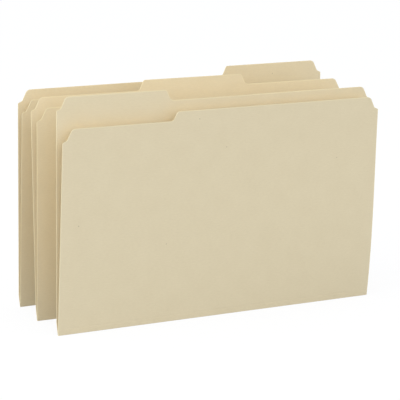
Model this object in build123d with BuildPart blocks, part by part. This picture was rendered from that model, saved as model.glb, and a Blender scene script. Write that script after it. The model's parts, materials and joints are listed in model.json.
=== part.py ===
from build123d import *
import os

os.makedirs("parts", exist_ok=True)

# Three file folders of manila card stand one behind the other on their folds, each open in a narrow V.
# Every folder is one cut and creased sheet: a front flap, a bottom strip and a taller back flap with a tab.
# Sizes are in millimetres and angles in degrees. X runs along the folds, Y to the back and Z up.

# The sheet, cut to hold legal paper, with heights measured along the card from the fold
width = 374.65
card = 0.28
front_height = 220.7
back_height = 230.2
tab_rise = 11.1
centre_tab = 122.0
undercut_depth = 9.5

# The stepped cut at both top corners of a flap
corner_drop = 13.7
corner_width = 10.6
corner_round = 5.5
shoulder_width = 4.9
shoulder_rise = 2.3
shoulder_round = 1.2
shoulder_hollow = 2.5

# The sloped side of a tab or an undercut
slope_width = 5.0
slope_round = 2.4
slope_hollow = 5.5

# The creases: the fold, the bent score above it at the back, and a pressed score in the front flap
strip_height = 12.7
crease_gap = 0.05
score_height = 6.0
score_width = 0.8
score_depth = 0.06

# How far each flap leans to the back
strip_angle = 16.0
front_folder_front_angle = -1.7
front_folder_back_angle = 1.3
middle_folder_front_angle = 1.3
middle_folder_back_angle = 4.4
rear_folder_front_angle = -0.5
rear_folder_back_angle = 1.2

# How the folders stand behind the first one: the step back, the shift to the right and the turn
middle_folder_step = 53.6
middle_folder_shift = 4.5
middle_folder_turn_angle = -1.3
rear_folder_step = 114.9
rear_folder_shift = 11.2
rear_folder_turn_angle = 0.4

LEFT, CENTRE, RIGHT = -1, 0, 1
tab_top = back_height + tab_rise
undercut_top = front_height - undercut_depth

# Name, side of the tab, stand of the fold, angle of the front flap and of the back flap
folders = [
    (
        "front_folder",
        LEFT,
        Location((0, 0, 0)),
        front_folder_front_angle,
        front_folder_back_angle,
    ),
    (
        "middle_folder",
        CENTRE,
        Location((middle_folder_shift, middle_folder_step, 0), (0, 0, middle_folder_turn_angle)),
        middle_folder_front_angle,
        middle_folder_back_angle,
    ),
    (
        "rear_folder",
        RIGHT,
        Location((rear_folder_shift, rear_folder_step, 0), (0, 0, rear_folder_turn_angle)),
        rear_folder_front_angle,
        rear_folder_back_angle,
    ),
]


def corner(side, top):
    """The stepped corner cut from the side edge up to the top edge: x, height and rounding of each point."""
    edge = side * width / 2
    shoulder = top - corner_drop
    return [
        (edge, shoulder, shoulder_round),
        (edge - side * shoulder_width, shoulder + shoulder_rise, shoulder_hollow),
        (edge - side * corner_width, top, corner_round),
    ]


def slope(x, left_top, right_top):
    """The sloped step between two stretches of the top edge, hollow at its foot and rounded at its head."""
    left_rounding, right_rounding = slope_round, slope_hollow
    if left_top < right_top:
        left_rounding, right_rounding = slope_hollow, slope_round
    return [
        (x - slope_width / 2, left_top, left_rounding),
        (x + slope_width / 2, right_top, right_rounding),
    ]


def top_edge(side, top, step_top):
    """The cut edge from the left corner to the right one, with the third on one side at its own height."""
    left, centre, right = [step_top if side == place else top for place in (LEFT, CENTRE, RIGHT)]
    edge = corner(LEFT, left)
    if left != centre:
        edge += slope(-centre_tab / 2, left, centre)
    if centre != right:
        edge += slope(centre_tab / 2, centre, right)
    return edge + corner(RIGHT, right)[::-1]


def outline(edge):
    """The points of a flap from its lower left to its lower right, and the rounding at each one between."""
    foot_left = (-width / 2, crease_gap)
    foot_right = (width / 2, crease_gap)
    points = [foot_left] + [(x, height) for x, height, rounding in edge] + [foot_right]
    return points, [rounding for x, height, rounding in edge]


panels = {}
creases = {}
for name, side, stand, front_angle, back_angle in folders:
    # Each sheet has its inner face at its own place, with x along the crease, y up the sheet and z to the front.
    fold = stand * Location((0, 0, 0), (90, 0, 0))
    front_place = fold * Location((0, 0, 0), (-front_angle, 0, 0))
    strip_place = fold * Location((0, 0, 0), (-strip_angle, 0, 0))
    back_place = strip_place * Location((0, strip_height, 0), (strip_angle - back_angle, 0, 0))
    creases[f"{name} fold"] = fold.position
    creases[f"{name} score"] = back_place.position

    # Front flap: undercut below the tab, with a pressed score line along its foot
    with BuildPart() as front_flap:
        with BuildSketch(Plane(front_place)):
            with BuildLine():
                points, roundings = outline(top_edge(side, front_height, undercut_top))
                FilletPolyline(*points, radius=roundings)
                Line(points[-1], points[0])
            make_face()
        extrude(amount=card)
        with BuildSketch(Plane(front_place).offset(card)):
            with Locations((0, score_height)):
                Rectangle(width, score_width)
        extrude(amount=-score_depth, mode=Mode.SUBTRACT)
    panels[f"{name}_front_flap"] = front_flap.part

    # Bottom strip: the narrow panel between the fold and the bent score
    with BuildPart() as bottom_strip:
        with BuildSketch(Plane(strip_place)):
            with Locations((0, strip_height / 2)):
                Rectangle(width, strip_height - 2 * crease_gap)
        extrude(amount=-card)
    panels[f"{name}_bottom_strip"] = bottom_strip.part

    # Back flap: the tall panel with the tab
    with BuildPart() as back_flap:
        with BuildSketch(Plane(back_place)):
            with BuildLine():
                edge = top_edge(side, back_height - strip_height, tab_top - strip_height)
                points, roundings = outline(edge)
                FilletPolyline(*points, radius=roundings)
                Line(points[-1], points[0])
            make_face()
        extrude(amount=-card)
    panels[f"{name}_back_flap"] = back_flap.part

# The set stands on Z = 0, with its middle over the origin.
box = Compound(list(panels.values())).bounding_box()
centre = Vector(box.center().X, box.center().Y, box.min.Z)
for name, panel in panels.items():
    placed = panel.moved(Location(-centre))
    placed.label = name
    export_step(placed, f"parts/{name}.step")
for name, place in creases.items():
    place -= centre
    print(f"{name} axis through x {place.X:.4f} y {place.Y:.4f} z {place.Z:.4f}")
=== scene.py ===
import json
from math import cos, pi, radians, sin, tan

import bmesh
import bpy
from mathutils import Matrix, Vector


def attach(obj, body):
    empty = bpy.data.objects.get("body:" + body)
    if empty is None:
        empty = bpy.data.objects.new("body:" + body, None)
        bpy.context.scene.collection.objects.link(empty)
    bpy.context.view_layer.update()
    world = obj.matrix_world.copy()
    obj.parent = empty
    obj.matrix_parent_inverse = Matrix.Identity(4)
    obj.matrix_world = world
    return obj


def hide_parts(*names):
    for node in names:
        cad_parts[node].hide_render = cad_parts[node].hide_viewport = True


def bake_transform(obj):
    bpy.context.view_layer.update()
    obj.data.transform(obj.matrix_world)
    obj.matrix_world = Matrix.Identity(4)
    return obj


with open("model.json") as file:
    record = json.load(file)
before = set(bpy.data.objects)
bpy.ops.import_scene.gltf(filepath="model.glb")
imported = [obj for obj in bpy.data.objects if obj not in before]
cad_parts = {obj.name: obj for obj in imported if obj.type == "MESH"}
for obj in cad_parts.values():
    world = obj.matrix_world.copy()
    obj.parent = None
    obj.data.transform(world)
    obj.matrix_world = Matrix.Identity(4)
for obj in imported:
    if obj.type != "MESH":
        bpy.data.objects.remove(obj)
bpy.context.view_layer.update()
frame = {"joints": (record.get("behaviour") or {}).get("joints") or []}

# Three file folders of manila card stand one behind the other, each open in a narrow V.
# A folder is one cut and creased sheet, modelled here as a flap, a bottom strip and a flap that meet flush.
# A piece is modelled in millimetres, standing upright over its own crease, and is then put in its place
# in metres. Points nearer than SAME_PLACE millimetres count as one.
MM = 0.001
SAME_PLACE = 0.002

# The sheet, with heights measured along the card from the fold
width = 374.65
card = 0.28
front_height = 220.7
back_height = 230.2
tab_rise = 11.1
centre_tab = 122.0
undercut_depth = 9.5
strip_height = 12.7

# The stepped cut at both top corners of a flap, and the sloped side of a tab or an undercut
corner_drop = 13.7
corner_width = 10.6
corner_round = 5.5
shoulder_width = 4.9
shoulder_rise = 2.3
shoulder_round = 1.2
shoulder_hollow = 2.5
slope_width = 5.0
slope_round = 2.4
slope_hollow = 5.5

# The creases: the sheet turns over a small round inside the fold, and bends softly at the score, where
# a narrow margin keeps the bend out of the flap's face. A flap runs past its crease and laps the strip.
fold_inside = 0.03
score_bend = 3.0
score_margin = 1.0
lap = 3.0

# The score line pressed into the front flap
press_height = 6.0
press_width = 0.8
press_depth = 0.06

# The band along a cut edge, paler partly where the die crushes the card's fibres and partly as a painted
# highlight where the edge catches the light, and the bare fibres on the edge itself
crush_and_highlight_width = 0.9
crush_and_highlight_share = 0.8
edge_fibre = 1.1

# The markings of the pulp: clouds, matted fibres along the fold, and stray flecks in a few cells of a net.
# The blanks lie far enough apart on their UV map for each folder to have markings of its own.
cloud_size = 22.0
fibre_length = 4.0
fibre_width = 1.3
fibre_relief = 0.02
fibre_share = 0.6
fleck_cell = 34.0
fleck_size = 0.55
fleck_share = 0.08
blank_step = 500.0

# How finely a sheet is divided, so that it can bow and turn
row_step = 9.0
column_step = 11.0
round_steps = 5
fold_steps = 8
score_steps = 3

# Angles in degrees: how far the strips and the flaps lean to the back, how far each folder is turned,
# and up to which bend the faces of a sheet shade as one
smooth_angle = 30.0
strip_angle = 16.0
flap_angles = {
    "front_folder": (-1.7, 1.3),
    "middle_folder": (1.3, 4.4),
    "rear_folder": (-0.5, 1.2),
}
turn_angles = {"front_folder": 0.0, "middle_folder": -1.3, "rear_folder": 0.4}
LEFT, CENTRE, RIGHT = -1, 0, 1
tab_sides = {"front_folder": LEFT, "middle_folder": CENTRE, "rear_folder": RIGHT}
hinges = [joint for joint in frame["joints"] if joint["type"] == "hinge"]
joint_places = {joint["name"]: Vector(joint["pos_m"]) for joint in hinges}

# The card isn't quite flat: the front folder's front flap bows forward above the fold, most at its right end
front_bow = 2.6
bow_growth = 1.5

# The studio, in metres: the floor just under the folds, with the share of its white that glows by itself,
# and the size of a softbox with the point that it is turned to
floor_size = 12.0
floor_drop = 0.0004
floor_glow = 0.9
softbox_size = 1.8
lit_point = Vector((0, 0, 0.12))

# Sockets of a mix node, whose names are repeated: its share, its two values and its two colours
SHARE, FIRST_VALUE, SECOND_VALUE, FIRST_COLOUR, SECOND_COLOUR = 0, 2, 3, 6, 7


def corner(side, top):
    """The stepped corner cut from the side edge up to the top edge: x, height and rounding of each point."""
    edge = side * width / 2
    shoulder = top - corner_drop
    return [
        (edge, shoulder, shoulder_round),
        (edge - side * shoulder_width, shoulder + shoulder_rise, shoulder_hollow),
        (edge - side * corner_width, top, corner_round),
    ]


def slope(x, left_top, right_top):
    """The sloped step between two stretches of the top edge, hollow at its foot and rounded at its head."""
    left_rounding, right_rounding = slope_round, slope_hollow
    if left_top < right_top:
        left_rounding, right_rounding = slope_hollow, slope_round
    return [
        (x - slope_width / 2, left_top, left_rounding),
        (x + slope_width / 2, right_top, right_rounding),
    ]


def top_edge(side, top, step_top):
    """The cut edge from the left corner to the right one, with the third on one side at its own height."""
    left, centre, right = [step_top if side == place else top for place in (LEFT, CENTRE, RIGHT)]
    edge = corner(LEFT, left)
    if left != centre:
        edge += slope(-centre_tab / 2, left, centre)
    if centre != right:
        edge += slope(centre_tab / 2, centre, right)
    return edge + corner(RIGHT, right)[::-1]


def select_points(piece, wanted):
    """In edit mode, selects the points whose place passes the test, with the edges and faces between them."""
    mesh = bmesh.from_edit_mesh(piece.data)
    for point in mesh.verts:
        point.select_set(wanted(point.co))
    mesh.select_flush(True)
    bmesh.update_edit_mesh(piece.data)


def slice_sheet(place, normal):
    """Cuts the whole sheet along a plane, and leaves both sides in place."""
    bpy.ops.mesh.select_all(action="SELECT")
    bpy.ops.mesh.bisect(plane_co=place, plane_no=normal, threshold=SAME_PLACE)


def start_sheet(name, skin, low, high):
    """A flat sheet that stands upright, with its outer skin in front of the crease or behind it."""
    bpy.ops.object.select_all(action="DESELECT")
    turn = pi / 2 if skin < 0 else -pi / 2
    bpy.ops.mesh.primitive_plane_add(size=1, location=(0, skin, (low + high) / 2), rotation=(turn, 0, 0))
    piece = bpy.context.object
    piece.name = name
    piece.scale = (width, high - low, 1)
    bpy.ops.object.transform_apply()
    bpy.ops.object.mode_set(mode="EDIT")
    bpy.ops.mesh.select_mode(type="VERT")
    return piece


def cut_outline(piece, edge, top):
    """Cuts the top of a flap: moves a point to each corner of the outline and rounds it."""
    for x, height, rounding in edge[1:-1]:
        slice_sheet((x, 0, 0), (1, 0, 0))
    for x, height, rounding in edge:
        select_points(piece, lambda co: abs(co.x - x) < SAME_PLACE and abs(co.z - top) < SAME_PLACE)
        bpy.ops.transform.translate(value=(0, 0, height - top))
    bpy.ops.mesh.select_all(action="SELECT")
    bpy.ops.mesh.dissolve_faces()
    foot = Vector((edge[0][0], 0))
    end = Vector((edge[-1][0], 0))
    points = [foot] + [Vector((x, height)) for x, height, rounding in edge] + [end]
    for before, point, after, (x, height, rounding) in zip(points, points[1:], points[2:], edge):
        bend = (point - before).angle(after - point)
        select_points(piece, lambda co: abs(co.x - x) < SAME_PLACE and abs(co.z - height) < SAME_PLACE)
        bpy.ops.mesh.bevel(offset=rounding * tan(bend / 2), segments=round_steps, affect="VERTICES")
    bpy.ops.mesh.select_all(action="SELECT")
    # The inset marks out the band along the cut edge that is painted paler: partly the die's crush, partly a
    # painted highlight.
    bpy.ops.mesh.inset(thickness=crush_and_highlight_width)


def divide(low, high, rows):
    """Cuts a sheet into a net of small faces, with the rows that its creases need."""
    columns = round(width / column_step)
    for number in range(1, columns):
        slice_sheet((width * (number / columns - 0.5), 0, 0), (1, 0, 0))
    count = max(1, round((high - low) / row_step))
    rows = rows + [low + (high - low) * number / count for number in range(1, count)]
    for row in rows:
        slice_sheet((0, 0, row), (0, 0, 1))


def lay_out(piece, folder, start, way):
    """Writes each point's place on the flat blank, in metres from its fold, to the UV map for the fibres."""
    bpy.ops.object.mode_set(mode="OBJECT")
    shift = blank_step * list(flap_angles).index(folder)
    layer = piece.data.uv_layers.active.data
    for loop in piece.data.loops:
        place = piece.data.vertices[loop.vertex_index].co
        layer[loop.index].uv = ((place.x + shift) * MM, (start + way * place.z) * MM)
    bpy.ops.object.mode_set(mode="EDIT")


def mark_cut_edge(piece, foot):
    """Marks the points on the cut edge above the foot, for the paler band that fades in from there: partly
    the die's crush, partly a painted highlight.
    """
    mesh = bmesh.from_edit_mesh(piece.data)
    crush_and_highlight = mesh.verts.layers.float.new("crush_and_highlight")
    for point in mesh.verts:
        point[crush_and_highlight] = float(point.is_boundary and point.co.z > foot + SAME_PLACE)
    bmesh.update_edit_mesh(piece.data)


def bend_rows(piece, skin, rows, turn):
    """Bends what hangs below each row, from the lowest row up, so that the flat sheet takes its crease."""
    for row in sorted(rows):
        select_points(piece, lambda co: abs(co.y - skin) > SAME_PLACE or co.z < row - SAME_PLACE)
        bpy.ops.transform.rotate(
            value=-turn / len(rows), orient_axis="X", center_override=(0, skin, row)
        )


def bow(piece, amount):
    """Bows a flap to the front, most at a third of its height and at its right end."""
    bpy.ops.object.mode_set(mode="OBJECT")
    group = piece.vertex_groups.new(name="bow")
    for point in piece.data.vertices:
        across = point.co.x / width + 0.5
        up = point.co.z / front_height
        # This curve over the height is 1 where it is highest.
        bulge = 27 / 4 * up * (1 - up) ** 2
        group.add([point.index], max(0, across ** bow_growth * bulge), "REPLACE")
    bpy.ops.object.modifier_add(type="DISPLACE")
    move = piece.modifiers[-1]
    move.direction = "Y"
    move.mid_level = 0
    move.strength = -amount
    move.vertex_group = group.name
    bpy.ops.object.modifier_apply(modifier=move.name)
    piece.vertex_groups.clear()


def thicken(piece):
    """Gives the outer skin the card's thickness to the inside, with the cut edge as a finish of its own."""
    bpy.ops.object.mode_set(mode="OBJECT")
    # The rim can only take a finish that the piece already has.
    for finish in finishes:
        piece.data.materials.append(finish)
    bpy.ops.object.modifier_add(type="SOLIDIFY")
    wall = piece.modifiers[-1]
    wall.thickness = card
    wall.offset = -1
    wall.use_even_offset = True
    wall.material_offset_rim = 1
    bpy.ops.object.modifier_apply(modifier=wall.name)


def put_in_place(piece, folder, lean, crease):
    """Leans a finished piece back over its crease, turns it with its folder and puts it there in metres."""
    piece.scale = (MM, MM, MM)
    piece.rotation_euler = (-radians(lean), 0, radians(turn_angles[folder]))
    piece.location = joint_places[f"{folder}_{crease}"]
    bpy.ops.object.transform_apply()
    bpy.ops.object.shade_smooth_by_angle(angle=radians(smooth_angle))


def crease_rows(turn, bend, skin, steps):
    """The heights of the small bends of a crease below a flap, and the foot of the sheet on the strip."""
    step = 2 * bend * tan(turn / steps / 2)
    start = (bend - abs(skin)) * tan(turn / 2)
    rows = [start - step * (number + 0.5) for number in range(steps)]
    foot = start - step * steps - lap + start
    return rows, foot


def model_front_flap(folder, lean):
    """The front flap: undercut below the tab, with a pressed score line at its foot and the fold below it."""
    turn = pi - radians(strip_angle - lean)
    skin = -card - fold_inside
    rows, foot = crease_rows(turn, -skin, skin, fold_steps)
    edge = top_edge(tab_sides[folder], front_height, front_height - undercut_depth)
    piece = start_sheet(f"{folder}_front_card", skin, foot, front_height)
    cut_outline(piece, edge, front_height)
    # Rows across the pressed line: three on its floor, one at each side and one a little beyond each side
    press_rows = [press_height + press_width * share for share in (-1, -0.5, -0.2, 0, 0.2, 0.5, 1)]
    # Narrow rows above the fold keep the turn of the crease out of the face of the flap.
    fold_rows = [0, card, 2 * card]
    divide(0, front_height, rows + fold_rows + press_rows)
    lay_out(piece, folder, 0, 1)
    mark_cut_edge(piece, foot)
    bend_rows(piece, skin, rows, turn)
    select_points(piece, lambda co: abs(co.z - press_height) < press_width / 2 - SAME_PLACE)
    bpy.ops.transform.translate(value=(0, press_depth, 0))
    if folder == "front_folder":
        bow(piece, front_bow)
    thicken(piece)
    put_in_place(piece, folder, lean, "fold")
    return piece


def model_strip(folder):
    """The bottom strip between the creases, flush with the laps of the two flaps."""
    skin = card + fold_inside
    piece = start_sheet(f"{folder}_strip_card", skin, lap, strip_height - lap)
    divide(lap, strip_height - lap, [])
    lay_out(piece, folder, 0, -1)
    thicken(piece)
    put_in_place(piece, folder, strip_angle, "fold")
    return piece


def model_back_flap(folder, lean):
    """The back flap with its tab, and the bent score under it."""
    turn = radians(strip_angle - lean)
    skin = card + fold_inside
    rows, foot = crease_rows(turn, score_bend, skin, score_steps)
    top = back_height - strip_height
    edge = top_edge(tab_sides[folder], top, top + tab_rise)
    piece = start_sheet(f"{folder}_back_card", skin, foot, top)
    cut_outline(piece, edge, top)
    divide(0, top, rows + [score_margin])
    lay_out(piece, folder, -strip_height, -1)
    mark_cut_edge(piece, foot)
    bend_rows(piece, skin, rows, -turn)
    thicken(piece)
    put_in_place(piece, folder, lean, "score")
    return piece


def linear(hex_colour):
    """An sRGB hex colour as the linear colour that a shader takes."""
    parts = [int(hex_colour[at:at + 2], 16) / 255 for at in (1, 3, 5)]
    return [part / 12.92 if part <= 0.04045 else ((part + 0.055) / 1.055) ** 2.4 for part in parts] + [1]


def add(tree, kind, inputs, **settings):
    """Adds a node with its settings. An input is a value or the output of another node."""
    made = tree.nodes.new(kind)
    for name, value in settings.items():
        setattr(made, name, value)
    for name, value in inputs.items():
        if isinstance(value, bpy.types.NodeSocket):
            tree.links.new(value, made.inputs[name])
        else:
            made.inputs[name].default_value = value
    return made


def start_material(name):
    """An empty material, its node tree and its output node."""
    material = bpy.data.materials.new(name)
    material.use_nodes = True
    tree = material.node_tree
    tree.nodes.clear()
    return material, tree, tree.nodes.new("ShaderNodeOutputMaterial")


def manila_card():
    """
    Manila card: buff uncoated stock, matt and a little cloudy where the pulp lies unevenly, with matted
    fibres along the mill's run, a few stray dark flecks, and a paler band along the cut edge, partly from
    the die's crush and partly a painted highlight.
    """
    material, tree, output = start_material("uncoated_manila_card")
    sheet = add(tree, "ShaderNodeTexCoord", {}).outputs["UV"]
    clouds = add(tree, "ShaderNodeTexNoise", {"Vector": sheet, "Scale": 1 / (cloud_size * MM), "Detail": 2})
    # A single fibre is too fine to show here, so the fibres are drawn as coarse as the flocks they mat into.
    grain = (1 / (fibre_length * MM), 1 / (fibre_width * MM), 1)
    along = add(tree, "ShaderNodeMapping", {"Vector": sheet, "Scale": grain})
    fibres = add(tree, "ShaderNodeTexNoise", {"Vector": along.outputs[0], "Scale": 1, "Detail": 3})
    pulp = add(
        tree,
        "ShaderNodeMix",
        {SHARE: fibre_share, FIRST_VALUE: clouds.outputs["Fac"], SECOND_VALUE: fibres.outputs["Fac"]},
    )
    colour = add(
        tree,
        "ShaderNodeMix",
        {SHARE: pulp.outputs[0], FIRST_COLOUR: linear("#e8d6af"), SECOND_COLOUR: linear("#f6e6c1")},
        data_type="RGBA",
    )
    cells = add(
        tree,
        "ShaderNodeTexVoronoi",
        {"Vector": sheet, "Scale": 1 / (fleck_cell * MM)},
        voronoi_dimensions="2D",
    )
    draw = add(tree, "ShaderNodeSeparateColor", {"Color": cells.outputs["Color"]})
    chosen = add(tree, "ShaderNodeMath", {0: draw.outputs[0], 1: fleck_share}, operation="LESS_THAN")
    reach = fleck_size / fleck_cell
    fleck = add(
        tree,
        "ShaderNodeMapRange",
        {
            "Value": cells.outputs["Distance"],
            "From Min": reach / 2,
            "From Max": reach,
            "To Min": chosen.outputs[0],
            "To Max": 0,
        },
    )
    colour = add(
        tree,
        "ShaderNodeMix",
        {SHARE: fleck.outputs[0], FIRST_COLOUR: colour.outputs[2], SECOND_COLOUR: linear("#b39f72")},
        data_type="RGBA",
    )
    # Paler along the cut edge: partly fibres that the die crushes, partly a painted highlight where the edge
    # catches the light.
    crush_and_highlight = add(tree, "ShaderNodeAttribute", {}, attribute_name="crush_and_highlight")
    band = add(tree, "ShaderNodeMath", {0: crush_and_highlight.outputs["Fac"], 1: crush_and_highlight_share}, operation="MULTIPLY")
    colour = add(
        tree,
        "ShaderNodeMix",
        {SHARE: band.outputs[0], FIRST_COLOUR: colour.outputs[2], SECOND_COLOUR: linear("#fff2c6")},
        data_type="RGBA",
    )
    matt = {"Value": fibres.outputs["Fac"], "To Min": 0.62, "To Max": 0.78}
    rough = add(tree, "ShaderNodeMapRange", matt)
    tooth = add(
        tree,
        "ShaderNodeBump",
        {"Height": fibres.outputs["Fac"], "Strength": 0.5, "Distance": fibre_relief * MM},
    )
    shader = add(
        tree,
        "ShaderNodeBsdfPrincipled",
        {
            "Base Color": colour.outputs[2],
            "Roughness": rough.outputs[0],
            "IOR": 1.5,
            "Normal": tooth.outputs[0],
        },
    )
    tree.links.new(shader.outputs[0], output.inputs["Surface"])
    return material


def cut_edge():
    """The die-cut edge of the card: bare paler fibres."""
    material, tree, output = start_material("cut_manila_edge")
    sheet = add(tree, "ShaderNodeTexCoord", {}).outputs["UV"]
    fibres = add(tree, "ShaderNodeTexNoise", {"Vector": sheet, "Scale": 1 / (edge_fibre * MM), "Detail": 2})
    colour = add(
        tree,
        "ShaderNodeMix",
        {SHARE: fibres.outputs["Fac"], FIRST_COLOUR: linear("#f8ebc6"), SECOND_COLOUR: linear("#fff5da")},
        data_type="RGBA",
    )
    shader = add(
        tree,
        "ShaderNodeBsdfPrincipled",
        {"Base Color": colour.outputs[2], "Roughness": 0.95, "IOR": 1.45, "Specular IOR Level": 0.2},
    )
    tree.links.new(shader.outputs[0], output.inputs["Surface"])
    return material


def white_where_seen(tree):
    """One where the camera, a reflection or a see-through surface looks, and nothing for other light."""
    path = add(tree, "ShaderNodeLightPath", {})
    seen = add(
        tree,
        "ShaderNodeMath",
        {0: path.outputs["Is Camera Ray"], 1: path.outputs["Is Glossy Ray"]},
        operation="MAXIMUM",
    )
    return add(
        tree,
        "ShaderNodeMath",
        {0: seen.outputs[0], 1: path.outputs["Is Transmission Ray"]},
        operation="MAXIMUM",
    ).outputs[0]


def make_floor():
    """A plain floor that is seen as white with a soft shadow, and throws little light back at the card."""
    bpy.ops.object.select_all(action="DESELECT")
    bpy.ops.mesh.primitive_plane_add(size=floor_size, location=(0, 0, -floor_drop))
    floor = bpy.context.object
    floor.name = "studio_floor"
    material, tree, output = start_material("white_studio_paper")
    seen = white_where_seen(tree)
    glow = add(tree, "ShaderNodeMath", {0: seen, 1: floor_glow}, operation="MULTIPLY")
    tone = add(
        tree,
        "ShaderNodeMix",
        {SHARE: seen, FIRST_COLOUR: linear("#a0a4aa"), SECOND_COLOUR: linear("#ffffff")},
        data_type="RGBA",
    )
    paper = add(tree, "ShaderNodeBsdfDiffuse", {"Color": tone.outputs[2]})
    white = add(tree, "ShaderNodeEmission", {"Color": linear("#ffffff"), "Strength": 1})
    mixed = add(tree, "ShaderNodeMixShader", {0: glow.outputs[0], 1: paper.outputs[0], 2: white.outputs[0]})
    tree.links.new(mixed.outputs[0], output.inputs["Surface"])
    floor.data.materials.append(material)


def make_world():
    """Soft studio light from pale walls all round, seen as white."""
    world = bpy.data.worlds.new("studio")
    bpy.context.scene.world = world
    world.use_nodes = True
    tree = world.node_tree
    tree.nodes.clear()
    tone = add(
        tree,
        "ShaderNodeMix",
        {SHARE: white_where_seen(tree), FIRST_COLOUR: linear("#f5f9ff"), SECOND_COLOUR: linear("#ffffff")},
        data_type="RGBA",
    )
    sky = add(tree, "ShaderNodeBackground", {"Color": tone.outputs[2], "Strength": 1})
    add(tree, "ShaderNodeOutputWorld", {"Surface": sky.outputs[0]})


def add_softbox(name, place, power):
    """A square soft light at a place in metres, with its power in watts, turned to what it lights."""
    bpy.ops.object.light_add(type="AREA", location=place)
    lamp = bpy.context.object
    lamp.name = name
    lamp.data.size = softbox_size
    lamp.data.energy = power
    lamp.rotation_euler = (lit_point - Vector(place)).to_track_quat("-Z", "Y").to_euler()


def make_camera():
    """The photograph's view: from the front and the left, a little above, with a long lens."""
    place = Vector((-1.05815, -1.82007, 0.57806))
    focal_pixels = 2029.075
    photo_pixels = 400
    yaw, pitch, roll = radians(-30.229), radians(12.529), radians(1.428)
    ahead = Vector((-sin(yaw) * cos(pitch), cos(yaw) * cos(pitch), -sin(pitch)))
    right = Vector((cos(yaw), sin(yaw), 0))
    up = right.cross(ahead)
    across = cos(roll) * right + sin(roll) * up
    upright = cos(roll) * up - sin(roll) * right
    turn = Matrix((across, upright, -ahead)).transposed().to_4x4()
    bpy.ops.object.camera_add()
    camera = bpy.context.object
    camera.matrix_world = Matrix.Translation(place) @ turn
    camera.data.lens = focal_pixels * camera.data.sensor_width / photo_pixels
    bpy.context.scene.camera = camera


make_camera()
make_world()
make_floor()
add_softbox("front_softbox", (-0.3, -2.6, 1.5), 7)
add_softbox("left_softbox", (-3.0, -0.4, 0.9), 56)
bpy.context.scene.view_settings.view_transform = "Standard"

finishes = (manila_card(), cut_edge())
for folder, (front_lean, back_lean) in flap_angles.items():
    front = model_front_flap(folder, front_lean)
    strip = model_strip(folder)
    back = model_back_flap(folder, back_lean)
    names = [f"{folder}_{part}" for part in ("front_flap", "bottom_strip", "back_flap")]
    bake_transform(front)
    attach(strip, names[1])
    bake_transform(back)
    for piece, name in zip((front, strip, back), names):
        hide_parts(name)
